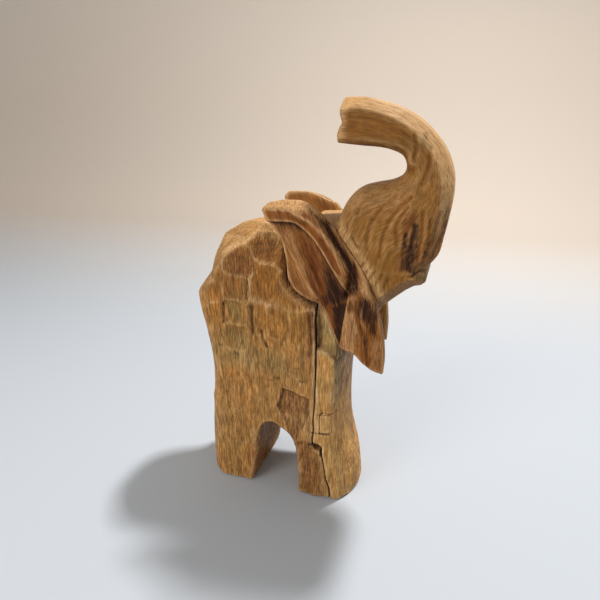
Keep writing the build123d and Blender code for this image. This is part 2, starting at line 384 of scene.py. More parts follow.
# ---------------------------------------------------------------- body: marks of the gouge
# Hollows on the right flank, from the back down: centre (x, z), half sizes, depth.
RIGHT_SCOOPS = [
    ((-57, 239), 18, 14, 4.2), ((-31, 254), 19, 15, 4.6), ((-14, 234), 12, 14, 3.0),
    ((-82, 229), 12, 17, 2.6), ((-61, 216), 16, 14, 2.6), ((-31, 221), 17, 17, 3.2),
    ((-6, 213), 14, 15, 2.2), ((-85, 211), 12, 14, 2.6), ((-100, 203), 11, 15, 2.4),
    ((-98, 184), 10, 18, 2.0), ((-83, 186), 9, 17, 2.2), ((-65, 192), 12, 12, 2.8),
    ((-40, 188), 10, 18, 2.2), ((-21, 187), 12, 18, 2.0), ((0, 184), 12, 20, 1.8),
    ((-65, 166), 14, 13, 2.6), ((-90, 158), 13, 16, 2.0), ((-45, 160), 11, 16, 1.8),
    ((-26, 154), 12, 17, 1.8), ((-4, 150), 14, 18, 1.6), ((-72, 138), 16, 17, 1.8),
    ((-96, 126), 13, 20, 1.6), ((-44, 130), 15, 17, 1.8), ((-18, 126), 14, 15, 1.6),
    ((-84, 102), 16, 20, 1.6), ((-58, 106), 15, 20, 1.6), ((-34, 99), 14, 19, 1.4),
    ((-98, 70), 14, 22, 1.5), ((-72, 66), 16, 22, 1.5), ((-92, 34), 15, 20, 1.6),
    ((-66, 30), 14, 20, 1.8), ((-102, 10), 14, 14, 1.6), ((-76, 4), 16, 14, 1.6),
    ((6, 44), 13, 20, 1.6), ((4, 14), 15, 18, 1.8), ((24, 140), 9, 20, 1.6),
    ((26, 104), 10, 20, 1.4), ((34, 62), 10, 22, 1.5), ((38, 26), 12, 20, 1.8), ((26, 6), 14, 14, 1.6),
]


def random_scoops(rng, low, high, first, last, deep):
    """Hollows in rough rows, for the faces that were cut without much care."""
    scoops = []
    for row, level in enumerate(np.arange(low, high, 24)):
        for column in np.arange(first, last, 21):
            centre = column + 10 * (row % 2) + rng.uniform(-5, 5), level + rng.uniform(-6, 6)
            scoops.append((centre, rng.uniform(12, 17), rng.uniform(14, 21), deep * rng.uniform(0.6, 1.3)))
    return scoops


def scooped(u, v, scoops):
    """How deep a place lies in its hollow, and how far it is from the ridge to the next one."""
    deepest = second = 0.0 * u * v
    for centre, half_u, half_v, deep in scoops:
        depth = dish(u, v, centre, 1.22 * half_u, 1.22 * half_v, deep)
        second = np.maximum(second, np.minimum(deepest, depth))
        deepest = np.maximum(deepest, depth)
    return deepest, deepest - second


LEFT_SCOOPS = random_scoops(np.random.default_rng(21), 150, 270, RUMP, 60, 3.4)
LEFT_SCOOPS += random_scoops(np.random.default_rng(22), 6, 150, RUMP, 60, 1.9)
END_SCOOPS = random_scoops(np.random.default_rng(23), 6, 275, -40, 50, 2.2)
HEAD_SCOOPS = random_scoops(np.random.default_rng(24), -70, 90, -50, 60, 1.3)


def long_grooves(across, along, seed):
    """Narrow tool marks that follow the grain."""
    rough = grain_noise(across, along, 3.4, 34, seed) + 0.6 * grain_noise(across, along, 1.9, 15, seed + 1)
    return 0.75 * np.maximum(rough - 0.1, 0)


def deep_grooves(x, z):
    """The few dark upright gouges high on the right flank."""
    lines = [[(-46, 199), (-47, 186), (-46, 173)], [(-38, 176), (-36, 168), (-33, 161)],
             [(-75, 199), (-76, 180)], [(29, 92), (30, 81)], [(33, 91), (36, 83)]]
    return sum(1.6 * stroke(line, 1.3, x, z) for line in lines)


ELBOW = [(-19, 120), (-7, 117.5), (7, 114), (7, 97), (3, 84), (-1, 74), (-7, 64), (-13, 70),
         (-18, 86), (-25, 100)]


def elbow_scoop(x, z):
    """The hollow above the front leg, with a sharp top edge, fading downwards."""
    return 3.4 * fade(-from_outline(ELBOW, x, z), -0.6, 2.5) * fade(z, 60, 112)


def chest_hollow(x, z):
    """The carved-away part of the chest under the ear."""
    edge = from_outline([*smooth((14, 166), (23, 164), (29, 157), (36, 152), (37.5, 140), (37.5, 125),
                                 (37, 111)), (FAR, 108), (FAR, FAR), (14, FAR)], x, z)
    return 5.0 * fade(-edge, -0.5, 4)


def ear_moat(x, z):
    """The wood cut away round an ear, which makes the ear stand out."""
    away = from_outline(ear_outline(), x, z)
    return 7.5 * near(np.maximum(away, 0), 7.5) * fade(z, 292, 258) * fade(x, 22, 8)


def right_relief(x, z):
    """What is cut off the right flank, as a depth."""
    depth, _ = scooped(x, z, RIGHT_SCOOPS)
    depth = depth + long_grooves(x, z, 11) * fade(z, 250, 215) + deep_grooves(x, z)
    return np.maximum(depth + elbow_scoop(x, z) + chest_hollow(x, z), ear_moat(x, z))


def left_relief(x, z):
    """What is cut off the left flank."""
    depth, _ = scooped(x, z, LEFT_SCOOPS)
    depth = depth + long_grooves(x, z, 31) * fade(z, 250, 215)
    return np.maximum(depth, ear_moat(x - LEFT_SHIFT, z))


def end_relief(y, z):
    """What is cut off the rump and the chest, seen from the ends."""
    depth, _ = scooped(y, z, END_SCOOPS)
    return depth + long_grooves(y, z, 41)


def flank_width(z):
    """Half the width of the body at a height."""
    heights = [0, 50, 110, 200, 232, 252, 264, 272, 280]
    widths = [FOOT + 0.4, FOOT, FLANK, FLANK, FLANK - 1, 35, 29, 21, 12]
    return np.interp(z, heights, widths)


# ---------------------------------------------------------------- body: the solid
def shave(field, x, y, z, point, normal, soft=0.8):
    """One flat cut: everything beyond a plane is taken off, with the edge a little soft."""
    normal = np.array(normal) / np.linalg.norm(normal)
    beyond = (x - point[0]) * normal[0] + (y - point[1]) * normal[1] + (z - point[2]) * normal[2]
    return blunt(field, beyond, soft)


def slid(field, x, shift):
    """A side-view field, moved along x by a shift that changes across y."""
    spot = np.clip((x - shift - x.min()) / STEP, 0, len(x) - 1.001)
    row = spot.astype(int)
    part = spot - row
    return field[row[..., 0], 0, :] * (1 - part) + field[row[..., 0] + 1, 0, :] * part


# Flat cuts on both shoulders of the rump, from the back down: a point and a direction.
RUMP_FACETS = [((-66, 0, 269), (-0.57, 0.68, 1)), ((-88.5, 0, 256), (-0.65, 0.53, 0.55)),
               ((-98, 25, 226), (-0.75, 0.5, 0.45))]


def body_field(x, y, z):
    """Both body blocks as one shape."""
    bow = 5.5 * (np.abs(y) / 25) ** 2.5
    rump = slid(from_outline(rump_line(), x, z), x, bow)
    chest = slid(from_outline(chest_line(), x, z), x, -3.2 * (np.abs(y) / 25) ** 2)
    side = np.maximum(rump, chest) + (0.7 - 0.5 * fade(x, 0, 25)) * end_relief(y, z)
    right = np.abs(y) - flank_width(z) + right_relief(x, z)
    left = np.abs(y) - flank_width(z) + left_relief(x, z)
    field = blunt(side, np.where(y < 0, right, left), 4 + 4 * fade(z, 30, 0) - 3 * fade(z, 200, 222))
    for sign in (RIGHT, LEFT):
        for point, normal in RUMP_FACETS:
            field = shave(field, x, y * sign, z, point, normal)
        corner = (x - 36) * 0.73 + (y * sign - 34) * 0.68 - 4.5 * fade(z, 112, 92)
        field = blunt(field, corner, 0.8 + 16 * fade(z, 122, 96))
    field = bevelled(field, -slid(from_outline(arch_line(), x, z), x, arch_lean(y, z)), 2.5)
    field = shave(field, x, y, z, (44, -34, 0), (0.75, -0.66, -0.05))
    uneven = 2.4 + 1.7 * grain_noise(x, y, 11, 11, 51)
    return bevelled(field, -z + 0 * x, uneven)


def opened_joint(y):
    """Half the gap that has opened along the seam: widest at the faces."""
    return JOINT_GAP + 0.32 * fade(np.abs(y), 28, 36)


def seam_notch(field, x, y, z):
    """The dark arched hole beside the seam, on the right of the leg."""
    hole = np.sqrt(((x - 15) / 5.0) ** 2 + ((y + FLANK) / 12) ** 2 + ((z - 61.5) / 4.2) ** 2)
    return np.maximum(field, (1 - hole) * 4.2)


def ear_room(field, x, y, z):
    """Cut the flat seats of both ears, a little larger than the ears."""
    for sign, shift in ((RIGHT, 0), (LEFT, LEFT_SHIFT)):
        under = from_outline(ear_outline(), x - shift, z) - 0.05
        field = np.maximum(field, -np.maximum(under, EAR_SEAT - y * sign))
    return field


# ---------------------------------------------------------------- head and trunk
def trunk_front():
    """The outer curve of the trunk, from the mouth up and over to the tip."""
    return smooth((TRUNK - 15, 242.5), (TRUNK - 6, 254), (TRUNK - 3, 268), (TRUNK - 0.5, 284),
                  (TRUNK + 0.5, 298), (TRUNK - 1, 313), (TRUNK - 7.5, 329), (TRUNK - 18.5, 343),
                  (TRUNK - 33, 355), (TRUNK - 50, 363), (TRUNK - 68, TOP - 0.5), (29, TOP + 0.5))


def crook_line():
    """The inner curve of the trunk, from under its tip round to the forehead."""
    return smooth((26, 335.5), (44, 333.5), (60, 332), (70, 329.5), (77, 325.5), (79, 319),
                  (75.5, 311.5), (67, 307), (55, 304.5), (45, 302), (39, 298), (33, 290), (28, 279))


JAW = [(-10, 150), (52, 150), (60, 192), (66.5, 205), (76, 214), (85.5, 222.5), (92, 227), (97, 228),
       (100.5, 231), (101, 238)]


def head_outline():
    """Head, jaw and trunk from the side."""
    tip = [(27, 366), (27, 356), (29, 350), (26.5, 346), (25, 341)]
    return [*trunk_front(), *tip, *crook_line(), (4, 277), (-10, 277), *JAW, (94, 242)]


def trunk_side(x, z):
    """Signed distance to the trunk's outer curve: negative behind it."""
    return from_outline([*trunk_front(), (-FAR, TOP), (-FAR, -FAR), (TRUNK, -FAR)], x, z)


def crook_side(x, z):
    """Signed distance to the crook of the trunk: negative in the open air it curls round."""
    return from_outline([*crook_line(), (-FAR, 279), (-FAR, 335.5)], x, z)


def jaw_side(x, z):
    """Signed distance to the jaw line: negative above it."""
    return from_outline([(-FAR, 150), *JAW[1:], (FAR, 240), (FAR, FAR), (-FAR, FAR)], x, z)


def head_width(x, z):
    """Half the width of head and trunk."""
    heights = [180, 205, 225, 240, 262, 290, 312, 330, 345, TOP]
    widths = [31, 31, 34, CHEEK, CHEEK, 32.5, 26, 23.5, 22, 21]
    width = np.interp(z, heights, widths)
    return width - 5 * fade(x, 93, TRUNK) * fade(z, 305, 270)


def ear_crease():
    """The fold where the ear leaves the neck, from the nape to under the jaw."""
    return smooth((0, 294), (12, 288), (20, 280.5), (27, 269.5), (33, 260), (39, 250.5), (43, 242),
                  (43, 232), (41, 219))


def nape_side(x, z):
    """Signed distance to the ear's crease: negative behind it, where the ear is."""
    return from_outline([*ear_crease(), (-FAR, 219), (-FAR, 294)], x, z)


EAR_ROOT = [(20, 282), (29, 271), (37, 260.5), (45, 249.5), (52, 239.5), (57, 229), (62, 217)]


def ear_root():
    """The front edge of the ear, beside the head."""
    return smooth((10, 290), *EAR_ROOT, (67, 207))


def head_grain(x, z):
    """Places across and along the head's fibres, which sweep up into the trunk and round it."""
    outer, place = from_line([(TRUNK - 20, 150), (TRUNK - 18, 225), *trunk_front()], x, z)
    inner, _ = from_line([*crook_line(), (20, 262), (14, 240), (20, 200)], x, z)
    across = 60 * outer / (outer + inner + 6)
    return across, 210 * place + 0.4 * z


TRUNK_CUTS = [
    [(112, 292), (110, 274), (103, 252)], [(107, 287), (104, 269), (99.5, 254)],
    [(101, 281), (100.5, 264), (97, 247)], [(95, 288), (95.5, 268), (94, 250)],
    [(90, 277), (89, 258), (88.5, 244)], [(84, 271), (83, 254), (83, 244)],
    [(55, 257), (56, 274), (64, 288), (74, 297)], [(66, 252), (67, 269), (75, 286), (86, 297)],
    [(92, 306), (96, 319), (96, 331)], [(84, 322), (86, 332), (84, 340)],
    [(43, 265), (47, 258)], [(45, 284), (50, 293), (60, 299)], [(78, 262), (77, 278), (84, 290)],
]


def head_grooves(x, z):
    """Fine curved cuts along the cheek and the root of the trunk, and hatching by the ear."""
    curves = [smooth(*line) if len(line) > 2 else line for line in TRUNK_CUTS]
    depth = sum(1.1 * stroke(curve, 1.4, x, z) for curve in curves)
    depth = depth + 2.2 * stroke([(102, 243), (96, 242), (90, 238)], 1.3, x, z)
    for offset in (0, 5, 9, 14, 19):
        line = [(48 + offset, 240 - offset), (54 + offset, 246 - 0.6 * offset)]
        depth = depth + 0.6 * stroke(line, 0.8, x, z)
    return depth


def head_field(x, y, z):
    """The head block: bulging cheeks, flat-sided trunk with a bevel on its outer edge."""
    side = from_outline(head_outline(), x, z)
    across, along = head_grain(x, z)
    marks, _ = scooped((x - 70) * 0.7, (z - 260) * 0.6, HEAD_SCOOPS)
    marks = 0.8 * marks + 0.45 * long_grooves(across, along, 52)
    valley = 2 * stroke(ear_root(), 7, x, z) * fade(z, 212, 240)
    flank = np.abs(y) - head_width(x, z) + marks + valley + head_grooves(x, z)
    on_trunk = np.maximum(fade(x, 80, 96) * fade(z, 255, 275), fade(z, 312, 324))
    rounding = 5 + 17 * fade(z, 250, 285) * (1 - on_trunk)
    field = blunt(side, flank, rounding)
    outer_leg = np.where(y < 0, 8.5, 6)
    field = blunt(field, (trunk_side(x, z) + flank + outer_leg) * FACET, 0.8)
    field = blunt(field, (-crook_side(x, z) + flank + 3.5) * FACET, 0.8)
    field = blunt(field, (jaw_side(x, z) * 1.15 + flank + 10) * 0.66, 1.0)
    return shave(field, x, y, z, (46, -14, TOP - 1), (-0.22, -0.55, 0.8))


# ---------------------------------------------------------------- ears
def ear_outline(drop=0.0):
    """The ear from the side: top, rear edge, rear point, front lobe and back up its root."""
    top = smooth((10, 290 - drop), (0, 293.5 - 0.8 * drop), (-12, 293.5 - 0.4 * drop), (-27, 291), count=4)
    rear = smooth((-31.5, 286), (-27, 276), (-20, 267), (-14.5, 259), (-12, 249), (-11, 238), (-10, 228),
                  (-6, 221), (0, 215.5), (9, 211.5), (16, 209.5), (21, 202), (25, 192), (29, 181), (33, 172))
    lobe = smooth((36, 171), (43, 169), (49, 166), (56, 158.5), (65, 152), (72.5, EAR_TIP))
    root = smooth((73, 160), (73, 172), (71, 189), (67, 205), *reversed(EAR_ROOT))
    return top + rear + lobe + root


def rim_edge():
    """The inner edge of the raised rim."""
    return smooth((-38, 276), (-26, 276), (-16, 276.5), (-4, 276), (4, 271.5), (12, 264), (19, 254.5),
                  (25, 244.5), (32, 234), (37.5, 226), (41.5, 217))


def lobe_edge():
    """The fold between the rear flap and the front lobe."""
    return smooth((41.5, 217), (40, 206), (37.5, 191), (34.5, 168))


def panel_side(x, z):
    """Signed distance to the sunk panel: negative on the panel."""
    return from_outline([*rim_edge(), *lobe_edge()[1:], (34, 140), (-60, 140), (-60, 276)], x, z)


RIM_RIDGE = [(-2, 284), (11, 277), (20, 269), (27, 260), (32, 252), (36, 240), (38, 230)]
PALE_FLUTE = [(-8, 264), (-2, 244), (5, 227), (13, 216)]
RED_FLUTE = [(3, 262), (12, 245), (19, 225), (26, 204), (31, 186)]
LOBE_LINE = [(53, 223), (50, 208), (51, 198), (56, 187)]


def across_ear(x, z):
    """Places across an ear's fibres, which lean back above the fold."""
    return x + 0.42 * np.maximum(z - EAR_FOLD, 0)


def ear_height(x, z):
    """The outer face of an ear, as a distance from the middle of the elephant."""
    panel = panel_side(x, z)
    on_panel = fade(panel, 0.4, -0.9)
    from_rim, _ = from_line(rim_edge() + lobe_edge(), x, z)
    sunk = 5.2 - 2.6 * fade(from_rim, 2, 24)
    sunk = sunk - 1.3 * stroke(smooth(*PALE_FLUTE), 4.5, x, z) + 0.9 * stroke(smooth(*RED_FLUTE), 3.5, x, z)
    front = fade(x, 36, 41) * fade(z, 224, 214)
    rim = 1.9 * (1 - stroke(smooth(*RIM_RIDGE), 4.5, x, z))
    rim = rim + 1.4 * stroke([(20, 262), (28, 250), (34, 238)], 2.5, x, z)
    lobe = 0.6 + 3.5 * fade(x, 56, 74) + 1.5 * fade(z, 176, EAR_TIP)
    lobe = lobe + 1.3 * stroke(smooth(*LOBE_LINE), 2, x, z)
    lobe = lobe + 1.0 * stroke([(62, 205), (60, 182), (58, 158)], 4, x, z)
    crease = 4.5 * stroke(ear_crease(), 2.6, x, z)
    neck = 5.2 * fade(nape_side(x, z), 0, 3) * fade(z, 222, 234)
    grooves = 0.8 * long_grooves(across_ear(x, z), z, 61)
    face = on_panel * sunk + (1 - on_panel) * (rim * (1 - front) + lobe * front)
    return EAR_FACE - face - np.maximum(crease, neck) - grooves


def ear_top_cut(z, out):
    """Signed distance to the flat cut along an ear's top edge."""
    return (z - EAR_TOP) * 0.75 + (out - EAR_FACE) * 0.66 + 6.5


def ear_field(x, y, z, side, shift):
    """One ear as a slab between its seat and its carved face."""
    x = x - shift
    out = y * side
    drop = 0 if side == RIGHT else 5
    edge = from_outline(ear_outline(drop), x, z) + 0.35 * grain_noise(x, z, 7, 7, 71 + side)
    face = out - ear_height(x, z)
    field = blunt(edge, face, 1.2)
    field = blunt(field, ear_top_cut(z, out) + 0 * x, 0.6)
    return blunt(field, EAR_SEAT + JOINT_GAP - out, 1.0)


# ---------------------------------------------------------------- pieces
def build_body():
    """The two body blocks and the patch, cut from one shape along their joints."""
    axes = block((RUMP, -FOOT, 0), (TOE + 12, FOOT, HIND_HIGH[2]))
    x, y, z = axes
    whole = body_field(x, y, z)
    whole = ear_room(whole, x, y, z)
    whole = np.maximum(whole, -neck_side(x, z) + JOINT_GAP)
    whole = seam_notch(whole, x, y, z)
    seam = seam_side(x, z)
    gap = opened_joint(y)
    hind = blunt(whole, seam + gap, 1.2)
    chest = blunt(whole, gap - seam, 1.2)
    patch = from_outline([(PATCH_LOW[0], PATCH_LOW[2]), (PATCH_HIGH[0], PATCH_LOW[2]),
                          (PATCH_HIGH[0], PATCH_HIGH[2]), (PATCH_LOW[0], PATCH_HIGH[2])], x, z)
    pocket = np.maximum(patch, y + FLANK - PATCH_DEPTH)
    chest = np.maximum(chest, PATCH_GAP - pocket)
    patch = np.maximum(patch + PATCH_GAP, y + FLANK - (PATCH_DEPTH - 2 * PATCH_GAP))
    patch = blunt(whole, patch, 0.5)
    return [
        make_piece("rump_and_flank", hind, axes, "hind_block"),
        make_piece("chest_and_foreleg", chest, axes, "chest_block"),
        make_piece("foreleg_patch", patch, axes, "leg_patch"),
    ]


def build_head():
    """The head block, down to its joint with the body."""
    axes = block(HEAD_LOW, HEAD_HIGH)
    x, y, z = axes
    field = head_field(x, y, z)
    field = np.maximum(field, neck_side(x, z) + JOINT_GAP)
    field = ear_room(field, x, y, z)
    return make_piece("head_and_trunk", field, axes, "head_block")


def build_ear(name, side, shift, node):
    """One ear on its seat."""
    low, high = node_box(node)
    axes = block(low, high, margin=3)
    field = ear_field(*axes, side, shift)
    return make_piece(name, field, axes, node)


# ---------------------------------------------------------------- paint
# Stains and tones are numbers on the corners, 0 to 1, which the materials read:
# stain is near-black purple, both real stains and painted shade; red is reddish brown;
# olive is weathered grey-green, and painted shade in places; worn is pale wood
# along ridges, and painted light on faces turned up; and sunk is painted shade in hollows and
# under faces turned down. The vector called fibre runs across, into and along the grain.
def blot(u, v, line, width, seed=7):
    """A ragged stroke of stain along a line."""
    ragged = 1 + 0.5 * grain_noise(u, v, 2.2, 7, seed)
    return np.clip(1.15 * stroke(line, width, u, v) * ragged, 0, 1)


def filled(u, v, outline, soft=3.0):
    """1 inside an outline, fading out across its edge."""
    return fade(-from_outline(outline, u, v), -soft, soft)


def marks(u, v, strokes):
    """Ragged strokes added up, each a strength, a width and a line."""
    return sum(strength * blot(u, v, line, width) for strength, width, line in strokes)


def patches(u, v, zones):
    """Soft-edged zones added up, each a strength, a softness and an outline."""
    return sum(strength * filled(u, v, outline, soft) for strength, soft, outline in zones)


def ridge_paint(u, v, between, reach=0.4):
    """How strongly a ridge shows as worn: broken along its length."""
    broken = fade(grain_noise(u, v, 15, 11, 15), -0.15, 0.6)
    return near(between, reach) * broken


def finish_paint(piece, fibre, **tones):
    """Store the fibre direction and the tones on a piece's corners, adding painted light on faces turned up
    and painted shade in hollows and under faces turned down.
    """
    paint_vector(piece, "fibre", fibre)
    raised, facing_up = wear_of(piece)
    # Painted light: faces turned up are made paler, on top of the real wear on raised edges.
    rubbed_and_lit = np.clip(raised * 2.2, 0, 1) + 0.32 * fade(facing_up, 0.1, 0.6)
    tones["worn"] = tones["worn"] + rubbed_and_lit
    # Painted shade: sunk darkens hollows and faces turned down.
    tones["sunk"] = np.clip(-raised * 4, 0, 1) + 0.7 * fade(facing_up, -0.04, -0.35)
    for name, values in tones.items():
        paint(piece, name, np.clip(values, 0, 1))


# ---------------------------------------------------------------- paint: body
RIDGE_STROKES = [
    (1.0, 1.9, [(-77, 244), (-67, 250.5), (-51, 256), (-45, 261), (-37, 267)]),
    (0.75, 1.9, [(-48, 252), (-44.5, 242), (-36, 240), (-25, 239.5), (-18, 234)]),
    (0.4, 3.2, [(-46, 205.5), (-32, 203), (-17, 200.5)]),
    (0.5, 0.9, [(-44, 235), (-46.5, 223), (-47.5, 205)]),
]
GROOVE_STROKES = [
    (0.4, 2.0, [(8, 200), (9, 180), (8, 150)]),
    (0.5, 1.5, [(-46.5, 199), (-47, 186), (-46, 172)]),
    (0.5, 1.5, [(-38, 177), (-36, 168), (-33, 161)]),
    (0.5, 1.5, [(-75, 198), (-76, 180)]),
    (0.5, 1.5, [(-50, 226), (-50.5, 206)]),
    (0.9, 1.6, [(9, 64), (14, 66), (18, 62), (18, 54)]),
    (0.7, 0.8, [(15, 98.5), (21, 101), (28, 99.5), (34, 101)]),
    (0.7, 0.8, [(8, 78), (16, 78.5), (26, 78)]),
]
SPECKS = [(-30, 127), (-24, 130), (-5, 143), (-80, 156), (-64, 149), (-78, 105), (1, 131)]
SPECK_STROKES = [(0.5, 1.5, [(x - 1.6, z), (x + 1.6, z + 0.6)]) for x, z in SPECKS]
# Painted shade: on the chest under the ear, and at the top of a hollow high on the flank.
PAINTED_SHADE_ZONES = [
    (0.22, 3, [(15, 166), (29, 158), (37, 152), (56, 150), (56, 200), (15, 210)]),
    (0.4, 2.5, [(-42, 264), (-28, 268), (-17, 257), (-28, 252), (-44, 253)]),
]
RED_ZONES = [
    (0.5, 3, [(-72, 251), (-48, 251), (-42, 238), (-49, 229), (-66, 226)]),
    (0.5, 3, [(-47, 258), (-30, 262), (-14, 244), (-26, 243), (-43, 243)]),
    (0.8, 4, [(-60, 50), (-50, 60), (-35, 63), (-31, 43), (-50, 14), (-62, 24)]),
]
OLIVE_STROKES = [(0.7, 7, [(-67, 198), (-63, 190)]), (0.7, 8, [(-70, 167), (-59, 167)])]
# Painted shade, olive, on the chest under the ear.
CHEST_SHADE_UNDER_EAR = [(0.8, 3, [(16, 164), (29, 157), (37, 151), (56, 150), (56, 200), (16, 200)])]
LOW_LEG = [(-8, 66), (9, 68), (18, 36), (24, -4), (-4, -4), (-7, 48)]


def body_sides(y):
    """How much each place belongs to the right face, the left face and the ends."""
    right = fade(-y, 22, 30)
    left = fade(y, 22, 30)
    return right, left, 1 - np.maximum(right, left)


def under_ears(x, z):
    """The front of the chest, dull in the shade of the ears."""
    return fade(x, 28.5, 31.5) * swell(z, 106, 128, 175, 215)


def body_worn(x, y, z):
    """Pale wood on ridges between hollows and on the lower flank, and painted light on the top of the back
    and the top of the rump.
    """
    right, left, end = body_sides(y)
    _, right_ridge = scooped(x, z, RIGHT_SCOOPS)
    _, left_ridge = scooped(x, z, LEFT_SCOOPS)
    _, end_ridge = scooped(y, z, END_SCOOPS)
    ridges = right * ridge_paint(x, z, right_ridge) + left * ridge_paint(x, z, left_ridge)
    ridges = ridges + 0.8 * end * ridge_paint(y, z, end_ridge)
    shoulder = 0.5 * fade(x, -64, -56) * swell(z, 225, 240, 256, 264)
    flank = marks(x, z, RIDGE_STROKES) - shoulder + 0.16 * fade(z, 190, 150)
    # Painted light on the top of the back and the top of the rump.
    back = 0.2 * fade(z, 258, 268) * fade(np.abs(y), 40, 30)
    rump = 0.14 * fade(z, 236, 246) * fade(x, -74, -90)
    return (0.2 + 0.35 * fade(z, 130, 215)) * ridges + right * flank + back + rump


def body_stain(x, y, z):
    """Near-black wood: seam, grooves, specks and low leg; and painted shade along the ear's edge, in the
    arch, on the chest under the ears and at the top of a hollow.
    """
    right, _, _ = body_sides(y)
    from_seam = np.abs(seam_side(x, z))
    from_ear = from_outline(ear_outline(), x, z)
    from_elbow = from_outline(ELBOW, x, z)
    seam = 0.6 * near(from_seam, 1.1) + 0.4 * near(from_seam, 4) * fade(z, 100, 190)
    drawn = marks(x, z, GROOVE_STROKES) + marks(x, z, SPECK_STROKES) + patches(x, z, PAINTED_SHADE_ZONES)
    # Painted shade on the body along the ear's edge, where the ear stands out.
    ear = 0.95 * fade(from_ear, 8.5, 1) * fade(x, 16, 11) * fade(z, 264, 252)
    elbow = 0.45 * near(from_elbow, 1.2) * fade(z, 66, 100) + 0.28 * fade(-from_elbow, -1, 2)
    leg = 0.28 * filled(x, z, LOW_LEG, 4)
    # Painted shade high in the arch between the legs.
    arch = 0.4 * fade(-from_outline(arch_line(), x, z), -5, -1) * fade(z, 40, 60)
    return right * (seam + drawn + ear + elbow + leg) + arch + 0.42 * under_ears(x, z)


def body_red(x, y, z):
    """Reddish wood: above the leg, beside the seam, under the ear and low on the legs."""
    right, _, _ = body_sides(y)
    elbow = 0.8 * fade(-from_outline(ELBOW, x, z), -1, 2)
    seam = 0.9 * swell(z, 125, 160, 205, 235) * swell(x, 2, 9, 13, 16)
    shoulder = 0.5 * swell(z, 196, 214, 240, 258)
    leg = 0.35 * swell(x, -14, -4, 16, 22) * fade(z, 78, 62) + 0.6 * filled(x, z, LOW_LEG, 4)
    return right * (patches(x, z, RED_ZONES) + elbow + seam + shoulder + leg)


def body_olive(x, y, z):
    """Weathered wood: two spots high on the flank and a band below them; and painted shade on the chest
    under the ears.
    """
    right, _, _ = body_sides(y)
    band = 0.6 * swell(z, 128, 142, 150, 165) * fade(x, -2, -20)
    drawn = marks(x, z, OLIVE_STROKES) + patches(x, z, CHEST_SHADE_UNDER_EAR)
    return right * (drawn + band + 0.9 * under_ears(x, z))


def paint_body(piece):
    """Tones of the two body blocks and the patch."""
    x, y, z = corners_of(piece)
    wavy = x + 1.6 * grain_noise(x, z, 30, 45, 91)
    finish_paint(piece, (wavy, y, z), worn=body_worn(x, y, z), stain=body_stain(x, y, z),
                 red=body_red(x, y, z), olive=body_olive(x, y, z))


# ---------------------------------------------------------------- paint: head
CHEEK_STROKES = [
    # The first stroke, along the mouth, is painted shade in its crease.
    (0.45, 0.9, [(102, 243), (96, 242), (91, 238.5)]),
    (0.6, 1.9, [(89, 279), (88.5, 258), (88, 243)]), (0.6, 1.9, [(92, 277), (92, 258), (91, 242)]),
    (0.6, 1.9, [(84, 270), (83, 252), (83, 243)]), (0.45, 1.9, [(86.5, 262), (86, 246)]),
    (0.45, 1.9, [(112, 290), (110, 270), (103, 253)]), (0.36, 1.9, [(106, 285), (103, 269), (99, 254)]),
    (0.3, 1.9, [(100, 279), (99, 262), (97, 247)]), (0.5, 1.9, [(91, 341), (93, 334)]),
]
NAPE_STROKES = [(0.5, 0.8, [(43, 266), (47, 258)]), (0.4, 0.9, [(38, 278), (39, 266), (38, 256)])]
STAINED_CHEEK = [(80, 285), (94, 285), (95, 242), (80, 242)]


def head_stain(x, side, z):
    """Near-black wood in strokes on the cheek and at the nape; and painted shade along the mouth's crease
    and under the trunk.
    """
    # Painted shade under the trunk's crook.
    under = 0.3 * fade(crook_side(x, z), 5, 1.5) * fade(z, 316, 326)
    return side * marks(x, z, CHEEK_STROKES) + marks(x, z, NAPE_STROKES) + under


def head_red(x, side, z):
    """Reddish wood: the stained cheek, the root of the trunk and the trunk's flat side."""
    cheek = side * filled(x, z, STAINED_CHEEK, 4)
    drawn = marks(x, z, [(0.6, 5, [(108, 296), (109, 272), (101, 252)])])
    drawn = drawn + patches(x, z, [(0.35, 6, [(50, 290), (62, 298), (80, 300), (70, 285)])])
    return cheek + drawn + 0.45 * fade(z, 312, 324) * fade(-trunk_side(x, z), 6, 9)


def head_olive(x, z):
    """Painted shade, olive: on the underside of the jaw and under the trunk's end."""
    jaw = 0.9 * fade(-jaw_side(x, z), 15, 6) * fade(x, 60, 75)
    return jaw + 0.5 * swell(z, 326, 333, 334, 345)


def head_worn(x, z):
    """Pale wood beside the ear, at the nape and on the throat; and painted light on the trunk's outer bevel,
    its edge and tip, and the crown.
    """
    depth = -trunk_side(x, z)
    from_ear, _ = from_line(ear_root(), x, z)
    # Painted light: the trunk's outer bevel, its edge and its tip.
    bevel = 1.15 * fade(depth, 9, 6) * fade(z, 256, 298)
    edge = 0.6 * near(depth - 8, 1.1) * fade(z, 300, 325)
    tip = fade(x, 46, 42) * fade(depth, 8, 6) * fade(z, 350, 357)
    ear = 0.7 * near(from_ear - 5, 3.0) * fade(z, 288, 270) * fade(x, 25, 35)
    # Painted light on the crown.
    crown = 0.15 * swell(z, 282, 300, 306, 318) * fade(x, 92, 70)
    nape = 0.6 * fade(z, 268, 276) * fade(x, 36, 28)
    throat = 0.4 * blot(x, z, [(63, 222), (58, 238)], 5)
    return bevel + edge + tip + ear + crown + nape + throat


def paint_head(piece):
    """Tones of the head and the trunk."""
    x, y, z = corners_of(piece)
    side = fade(np.abs(y), 10, 20)
    across, along = head_grain(x, z)
    finish_paint(piece, (across, y, along), worn=head_worn(x, z), stain=head_stain(x, side, z),
                 red=head_red(x, side, z), olive=head_olive(x, z))


# ---------------------------------------------------------------- paint: ears
PANEL_DARK = [(21, 238), (24, 223), (22, 209), (33, 211), (41, 216), (31, 230), (25, 238)]
